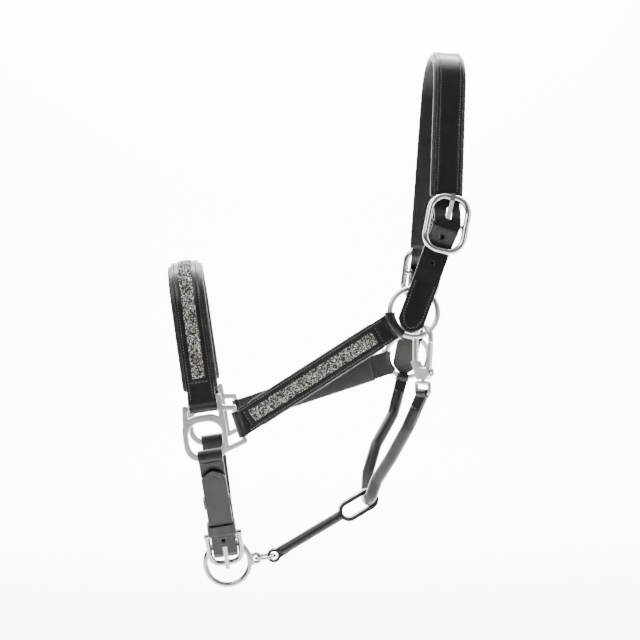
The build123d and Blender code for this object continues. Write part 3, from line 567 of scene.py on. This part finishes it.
# %% Crown strap
crown_strap = leather_from("crown_strap", "crown_strap_leather", voxel=0.7)
frame_half = 27.75
pad_end = frame_half + 3.25 + 2.0
crown_face, billet_half = 2.8, 1.4  # crown's face above its seam, half a billet's thickness
crown_rows = [
    arch_row(crown_arch, across, crown_face, pad_end + 1, crown_arch.length - pad_end - 1)
    for across in (-10.2, 10.2)
]
billet_level = -tab_depth + 5.25 + billet_half
billet_tip, row_top = -117.0, -64.0
for side in SIDES:
    tab = tab_place(side)
    point = (0.0, billet_tip + 3.8)
    for edge in (-1, 1):
        run = [
            (edge * 10.0, row_top), (edge * 10.0, billet_tip + 17.0),
            (edge * 6.5, billet_tip + 7.5), point,
        ]
        crown_rows.append(flat_row(tab, run[::-edge], billet_level + billet_half))
press(crown_strap, [row for row, _ in crown_rows], *groove)
stitches("crown_stitches", crown_rows)
for side in SIDES:
    tab = tab_place(side)
    seat, up, inward = np.array(tab.origin), np.array(tab.y), -np.array(tab.z)

    def on_billet(spots, side=side, seat=seat, up=up):
        return ((spots - seat) @ up < -30.0) & (spots[:, 1] * SIDES[side] > 0)

    paint(crown_strap, flesh_side, lambda s, n: on_billet(s) & (n @ inward > 0.75))
    paint(crown_strap, cut_edge, lambda s, n: on_billet(s) & (np.abs(n @ inward) < 0.45))

# %% [markdown]
# ## Padding
#
# Under the crown, the noseband and the cheekpieces lies a strip of foam in soft leather. It is drawn
# tight at the seam and swells between the stitches, so its edge is a row of small puckers. The skin
# is one closed tube round the strip. Its section swells and narrows with the stitching.

# %% A padded strip along any run
pad_section = 36                    # points round a strip's section
pucker_pitch = 7.5
pad_seam = -0.05                    # the skin's top from the strap's seam


def swell(t, power):
    return np.sign(t) * np.abs(t) ** power


def padded_strip(name, at, length, half_width, depth, replaced, phase=0.0):
    """A padded strip. `at` gives a point from along, across and out."""
    steps = int(length / 1.1)
    turns = np.linspace(0, 2 * pi, pad_section, endpoint=False)
    points, faces = [], []
    knots = np.arange(0, steps + 12, 6)
    wander = np.interp(np.arange(steps + 1), knots, rng.uniform(-1, 1, len(knots)))
    for k in range(steps + 1):
        along = length * k / steps
        end_gap = min(along, length - along)
        close = sqrt(max(1 - (1 - min(end_gap / 6.0, 1.0)) ** 2, 0.0)) * 0.92 + 0.08
        beat = 0.5 - 0.5 * cos(2 * pi * (along + phase) / pucker_pitch + 1.6 * wander[k])
        sharp = beat**0.7
        for turn in turns:
            side, face = cos(turn), sin(turn)
            edge = abs(side) ** 6
            width = half_width * (1 - 0.012 * (1 - sharp)) * (0.90 + 0.10 * close)
            across = float(swell(side, 0.42)) * width
            bulge = float(swell(face, 0.55)) * depth / 2 * close
            pinch = 1 - 0.16 * edge * (1 - sharp)
            if face < 0:
                crown = 1 + 0.16 * cos(across / half_width * pi / 2) + 0.03 * wander[k]
                out = -depth / 2 + bulge * pinch * crown
            else:
                out = -depth / 2 + bulge * pinch
            points.append(np.array(tuple(at(along, across, out + pad_seam))))
    for k in range(steps):
        for j in range(pad_section):
            a, b = k * pad_section + j, k * pad_section + (j + 1) % pad_section
            faces.append((a, b, b + pad_section, a + pad_section))
    faces.append(tuple(range(pad_section))[::-1])
    faces.append(tuple(range(steps * pad_section, (steps + 1) * pad_section)))
    obj = mesh_piece(name, points, faces, [soft_lining])
    only(obj)
    bpy.ops.object.mode_set(mode="EDIT")
    bpy.ops.mesh.select_all(action="SELECT")
    bpy.ops.mesh.normals_make_consistent(inside=False)
    bpy.ops.object.mode_set(mode="OBJECT")
    bpy.ops.object.shade_smooth()
    for node in replaced:
        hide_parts(node)
    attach(obj, "root")
    print(name, triangles(obj), "triangles")
    return obj


# %% Crown padding
crown_gap = pad_end - 4.0
padded_strip(
    "crown_padding_skin", lambda s, a, o: crown_arch.at(s + crown_gap, a, o),
    crown_arch.length - 2 * crown_gap, 16.9, 6.2, ["crown_padding", "crown_lining"],
)

# %% [markdown]
# ## The noseband
#
# The noseband arches over the nose between the two fittings. Its face carries the crystal strip in a
# shallow seat, with a raised border and a row of stitches outside it.

# %% Noseband
noseband = leather_from("noseband_strap", "noseband_leather", voxel=0.62)
nose_plain, nose_fold, strap_face = 30.0, 26.0, 2.5
pad_into_fold = 8.0                 # how far a padded strip runs into the doubled leather
nose_rows = [
    arch_row(nose_arch, across, strap_face, 9.0, nose_arch.length - 9.0) for across in (-11.2, 11.2)
]
for along in (nose_plain - 4.0, nose_arch.length - nose_plain + 4.0):
    line = [nose_arch.at(along, a, strap_face) for a in np.linspace(-9, 9, 10)]
    out = (nose_arch.at(along, 0, strap_face + 1) - nose_arch.at(along, 0, strap_face)).normalized()
    nose_rows.append((line, [out] * 10))
press(noseband, [row for row, _ in nose_rows], *groove)
stitches("noseband_stitches", nose_rows)
nose_gap = nose_fold - pad_into_fold
padded_strip(
    "noseband_padding_skin", lambda s, a, o: nose_arch.at(s + nose_gap, a, o),
    nose_arch.length - 2 * nose_gap, 18.0, 6.2, ["noseband_padding", "noseband_lining"], phase=2.0,
)


# %% [markdown]
# ## The crystal strip
#
# The strip is black fabric packed with crushed crystal grains about a millimetre across. Each grain
# is a small faceted stone with its own turn and size. Most are silver or clear, some are champagne
# and some are dark, which gives the strip its salt-and-pepper glitter. The fabric under them is the
# inlay's own solid, copied and softened.

# %% Crystals
crystal_kinds = {
    "crystal_silver": ((0.40, 0.39, 0.36), 0.22),
    "crystal_clear": ((0.95, 0.95, 0.93), 0.16),
    "crystal_champagne": ((0.34, 0.30, 0.21), 0.24),
    "crystal_smoky": ((0.012, 0.012, 0.011), 0.20),
}
crystal_materials = []
for name, (colour, rough) in crystal_kinds.items():
    recipe = Recipe(name, Metallic=0.35, Coat_Weight=0.4, Coat_Roughness=0.08)
    recipe.feed(
        "Base Color",
        recipe.mix(recipe.noise(1400.0), tuple(c * 0.8 for c in colour), colour),
    )
    recipe.feed("Roughness", rough + 0.1 * recipe.noise(700.0))
    crystal_materials.append(recipe.material)
strip_fabric = Recipe("strip_fabric")
strip_fabric.feed(
    "Base Color",
    strip_fabric.mix(strip_fabric.noise(600.0), (0.008, 0.008, 0.008), (0.03, 0.028, 0.026)),
)
strip_fabric.feed("Roughness", 0.7 + 0.2 * strip_fabric.noise(400.0))
stone = np.array([
    (1, 0, 0.1), (0.45, 0.85, -0.05), (-0.6, 0.8, 0.1), (-1, -0.05, -0.1), (-0.4, -0.9, 0.1),
    (0.6, -0.75, -0.05), (0.35, 0.2, 0.75), (-0.4, 0.25, 0.7), (0.0, -0.4, 0.8), (0.1, 0.0, -0.7),
])
stone_faces = [
    (0, 1, 6), (1, 2, 7), (1, 7, 6), (2, 3, 7), (3, 4, 8), (3, 8, 7), (4, 5, 8), (5, 0, 6),
    (5, 6, 8), (6, 7, 8),
    (1, 0, 9), (2, 1, 9), (3, 2, 9), (4, 3, 9), (5, 4, 9), (0, 5, 9),
]
grain_pitch = 1.16
grain_row = grain_pitch * 0.87      # between rows of the honeycomb
grain_size = 0.58
grain_stray = 0.16
kind_shares = (0.18, 0.16, 0.18, 0.48)
inlay_half, inlay_face = 6.5, 3.2


def random_turn():
    q = rng.normal(size=4)
    w, x, y, z = q / np.linalg.norm(q)
    return np.array([
        [1 - 2 * (y * y + z * z), 2 * (x * y - z * w), 2 * (x * z + y * w)],
        [2 * (x * y + z * w), 1 - 2 * (x * x + z * z), 2 * (y * z - x * w)],
        [2 * (x * z - y * w), 2 * (y * z + x * w), 1 - 2 * (x * x + y * y)],
    ])


def crystal_strip(name, at, length, half_width, height, node):
    """Grains packed along a strip, in a jittered honeycomb."""
    points, faces, kinds = [], [], []
    for row in range(int(length / grain_row)):
        along = (row + 0.5) * grain_row
        shift = 0.5 * grain_pitch * (row % 2)
        for across in np.arange(-half_width + 0.35 + shift, half_width - 0.25, grain_pitch):
            size = grain_size * rng.uniform(0.75, 1.30)
            here = along + rng.normal(0, grain_stray)
            aside = float(np.clip(across + rng.normal(0, grain_stray), -half_width, half_width))
            spot = np.array(tuple(at(here, aside, height + rng.uniform(-0.25, 0.35))))
            base = len(points)
            points.extend(spot + (stone * size) @ random_turn().T)
            faces.extend(tuple(base + k for k in face) for face in stone_faces)
            kind = rng.choice(len(kind_shares), p=kind_shares)
            kinds.extend([kind] * len(stone_faces))
    obj = mesh_piece(name, points, faces, crystal_materials, kinds)
    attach(obj, "root")
    leather_from(
        node, f"{name}_fabric", voxel=0.5, rounds=2, material=strip_fabric.material
    )
    print(name, triangles(obj), "triangles")


crystal_strip(
    "noseband_crystals", lambda s, a, o: nose_arch.at(s + nose_plain, a, o),
    nose_arch.length - 2 * nose_plain, inlay_half, inlay_face, "noseband_inlay",
)

# %% [markdown]
# ## The cheekpieces
#
# A cheekpiece folds round the fitting's slanted bar at one end and round the upper ring at the other.
# Between the folds it is padded, and its crystal strip stops short of both.

# %% Cheekpieces
cheek_plain, cheek_inlay, cheek_fold = 15.0, 148.0, 26.0
for side in SIDES:
    cheek = cheek_place(side)
    length = cheek_length(side)
    strap = leather_from(f"{side}_cheek_strap", f"{side}_cheek_leather", voxel=0.6)
    start, end = 6.5, length - ring_radius - 8.0
    rows = [flat_row(cheek, [(start, a), (end, a)], strap_face) for a in (-11.0, 11.0)]
    for along in (cheek_plain - 4.5, cheek_plain + cheek_inlay + 4.5):
        rows.append(flat_row(cheek, [(along, -8.5), (along, 8.5)], strap_face))
    press(strap, [row for row, _ in rows], *groove)
    stitches(f"{side}_cheek_stitches", rows)
    first = cheek_fold - pad_into_fold
    padded_strip(
        f"{side}_cheek_padding_skin",
        lambda s, a, o, cheek=cheek, first=first: cheek.at(s + first, a, o),
        length - ring_radius - 2 * first, 14.4, 5.5,
        [f"{side}_cheek_padding", f"{side}_cheek_lining"], phase=1.0,
    )
    crystal_strip(
        f"{side}_cheek_crystals",
        lambda s, a, o, cheek=cheek: cheek.at(s + cheek_plain, a, o),
        cheek_inlay, inlay_half, inlay_face, f"{side}_cheek_inlay",
    )
    leather_from(f"{side}_crown_tab", f"{side}_crown_tab_leather", voxel=0.6)

# %% [markdown]
# ## The chin strap
#
# The near half is a doubled strap that carries the buckle and two keepers. The far half comes down
# through the lead ring, turns up through the buckle and lies over the near half. Its billet has a
# creased line inside its edge.

# %% Chin strap
chin_lean = radians(18.0)
near_bar = Vector((-nose_half_gap, -51.0, 0))
chin_down = Vector((sin(chin_lean), -cos(chin_lean), 0))
chin_out = Vector((-cos(chin_lean), -sin(chin_lean), 0))


def chin_at(down, out):
    spot = near_bar + chin_down * down + chin_out * out
    return nose_place.at(spot.x, spot.y)


chin_up = chin_at(-1, 0) - chin_at(0, 0)
chin_face = chin_at(0, 1) - chin_at(0, 0)
chin_place = Place(chin_at(0, 0), chin_up.cross(chin_face), chin_face)
near_chin = leather_from("near_chin_strap", "near_chin_leather", voxel=0.5)
far_chin = leather_from("far_chin_strap", "far_chin_leather", voxel=0.55)
billet_face = 5.9 + billet_half
crease = [
    (-8.6, -106.0), (-8.6, -30.0), (-6.0, -21.0), (0.0, -16.6),
    (6.0, -21.0), (8.6, -30.0), (8.6, -106.0),
]
press(far_chin, [flat_row(chin_place, crease, billet_face)[0]], 0.55, 0.35)
for strap in (far_chin, near_chin):
    paint(strap, cut_edge, lambda spots, outs: np.abs(outs @ np.array(chin_place.x)) > 0.85)
for keeper, body in (("chin_fixed_keeper", "root"), ("chin_runner_keeper", "runner")):
    leather_from(keeper, f"{keeper}_leather", voxel=0.4, rounds=4, body=body)

# %% [markdown]
# ## The cast fittings
#
# A side fitting is cast and then tumbled, so it has no sharp edge. Its solid is copied and its skin
# is rubbed round in the same way as the leather, with more rounds.

# %% Side fittings
for side in SIDES:
    leather_from(
        f"{side}_side_fitting", f"{side}_cast_fitting", voxel=0.5, rounds=14, material=satin_steel,
    )

# %% [markdown]
# ## The rolled straps
#
# The throat strap and the back strap are leather rolled round a cord, so each is round. The cord is
# hidden inside.

# %% Throat and back strap
leather_from("throat_strap", "throat_leather", voxel=0.6, rounds=6)
leather_from("back_strap", "back_leather", voxel=0.5, rounds=5)
for hidden in ("throat_strap_core", "back_strap_core"):
    leather_from(hidden, f"{hidden}_cord", voxel=0.8)

# %% [markdown]
# ## The sweep and the lamps
#
# The sweep is one sheet: a floor, a quarter round and a wall. Its numbers are in metres.

# %% Backdrop and lights
bpy.ops.object.select_all(action="DESELECT")
bpy.ops.mesh.primitive_grid_add(x_subdivisions=2, y_subdivisions=48, size=1.0)
sweep = bpy.context.object
sweep.name = "sweep"
sweep_width, sweep_run, floor_run, bend_run = 10.0, 9.0, 5.0, 1.5
floor_start, floor_level = -2.5, -0.75
bend_radius = bend_run / (pi / 2)
for vertex in sweep.data.vertices:
    run = (vertex.co.y + 0.5) * sweep_run
    if run < floor_run:
        y, z = floor_start + run, 0.0
    elif run < floor_run + bend_run:
        angle = (run - floor_run) / bend_run * pi / 2
        y = floor_start + floor_run + bend_radius * sin(angle)
        z = bend_radius * (1 - cos(angle))
    else:
        y = floor_start + floor_run + bend_radius
        z = bend_radius + run - floor_run - bend_run
    vertex.co = Vector((vertex.co.x * sweep_width, y, z + floor_level))
only(sweep)
bpy.ops.object.shade_smooth()
paper = Recipe("paper", Base_Color=(0.96, 0.96, 0.96, 1), Roughness=0.9)
sweep.data.materials.append(paper.material)

world = bpy.data.worlds.new("studio")
bpy.context.scene.world = world
world.use_nodes = True
backdrop = world.node_tree.nodes["Background"]
backdrop.inputs[1].default_value = 0.55
direction = world.node_tree.nodes.new("ShaderNodeTexCoord")
height = world.node_tree.nodes.new("ShaderNodeSeparateXYZ")
room = world.node_tree.nodes.new("ShaderNodeValToRGB")
room_shades = ((0.42, (0.015, 0.015, 0.016, 1)), (0.78, (1.0, 1.0, 1.0, 1)))
for stop, (position, colour) in zip(room.color_ramp.elements, room_shades):
    stop.position, stop.color = position, colour
lift = world.node_tree.nodes.new("ShaderNodeMapRange")
lift.inputs["From Min"].default_value = -1.0
world.node_tree.links.new(direction.outputs["Generated"], height.inputs[0])
world.node_tree.links.new(height.outputs["Z"], lift.inputs["Value"])
world.node_tree.links.new(lift.outputs["Result"], room.inputs[0])
world.node_tree.links.new(room.outputs[0], backdrop.inputs[0])


def lamp(name, place, target, size, watts):
    data = bpy.data.lights.new(name, "AREA")
    data.shape = "RECTANGLE"
    data.size, data.size_y = size
    data.energy = watts
    obj = bpy.data.objects.new(name, data)
    obj.location = place
    obj.rotation_euler = (Vector(target) - Vector(place)).to_track_quat("-Z", "Y").to_euler()
    bpy.context.collection.objects.link(obj)


middle = (-0.13, 0, -0.27)
lamp("key", (-1.3, -1.3, 1.2), middle, (1.1, 1.1), 50)
lamp("fill", (1.6, -1.0, 0.2), middle, (0.7, 1.6), 26)
lamp("top", (0.0, 0.3, 1.7), middle, (1.4, 1.4), 30)
lamp("sweep_light", (0.0, 1.2, 2.2), (0, 3.4, 0.0), (4.0, 1.2), 1500)
print("studio ready")
